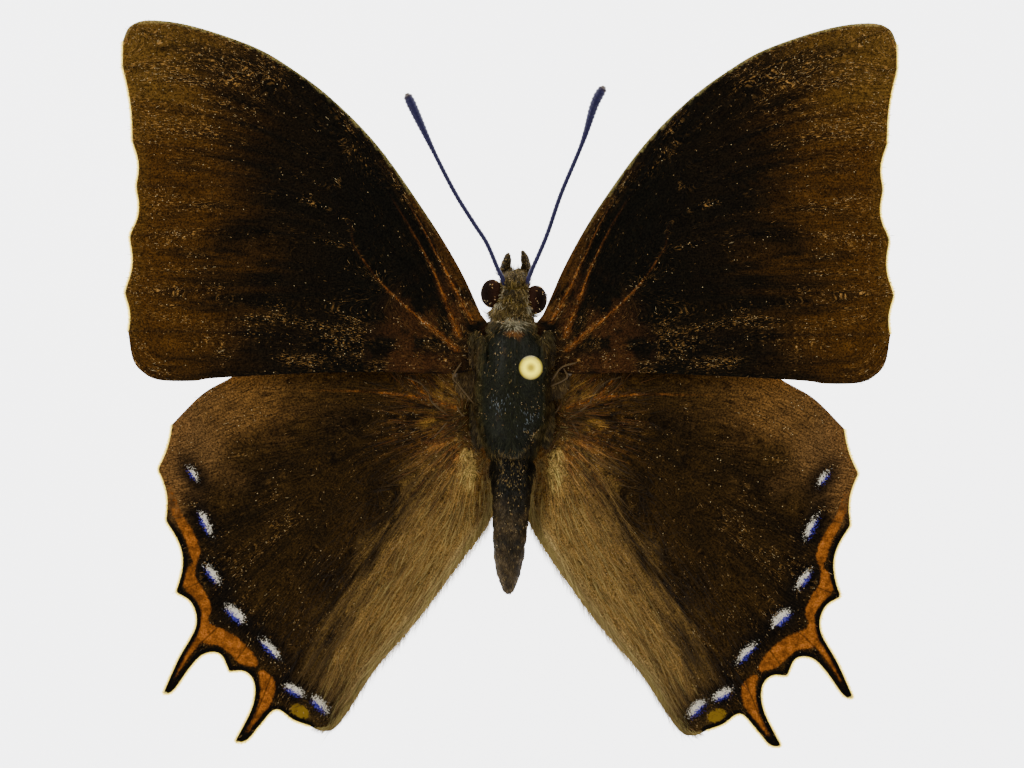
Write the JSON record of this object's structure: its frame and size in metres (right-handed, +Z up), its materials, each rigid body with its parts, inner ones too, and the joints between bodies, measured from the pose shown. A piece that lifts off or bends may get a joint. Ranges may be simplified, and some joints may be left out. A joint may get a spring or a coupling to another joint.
{
  "type": "pinned butterfly specimen",
  "caption": "Set and pinned butterfly, life size: four spread dark brown wings with paired rear tails, body, antennae and legs, on an insect pin in a small plain base.",
  "frame": {"origin": "centre of the footprint of the whole piece, on the floor under the base", "axes": "+Z up, the upper side of the wings; +Y towards the head; +X to the right seen from above"},
  "size_m": [0.0646, 0.0607, 0.0396],
  "materials": {
    "forewing": "matt scales over a dark brown membrane",
    "hindwing": "matt scales, brown with an orange border",
    "body": "short hair and scales",
    "eye": "glossy, finely faceted",
    "antenna": "satin horn",
    "leg": "satin horn with scales",
    "pin_steel": "bright shaft, pale yellow round head",
    "stand": "plain matt pale cast resin"
  },
  "bodies": {
    "root": {"head": "body", "thorax": "body", "abdomen": "body", "eye_left": "eye", "eye_right": "eye", "palp_left": "body", "palp_right": "body", "antenna_left": "antenna", "antenna_right": "antenna", "proboscis": "leg", "forewing_left": "forewing", "forewing_right": "forewing", "hindwing_left": "hindwing", "hindwing_right": "hindwing", "pin": "pin_steel", "stand_base": "stand", "leg_fore_left": "leg", "leg_fore_right": "leg", "leg_mid_left": "leg", "leg_mid_right": "leg", "leg_hind_left": "leg", "leg_hind_right": "leg"}
  },
  "joints": []
}
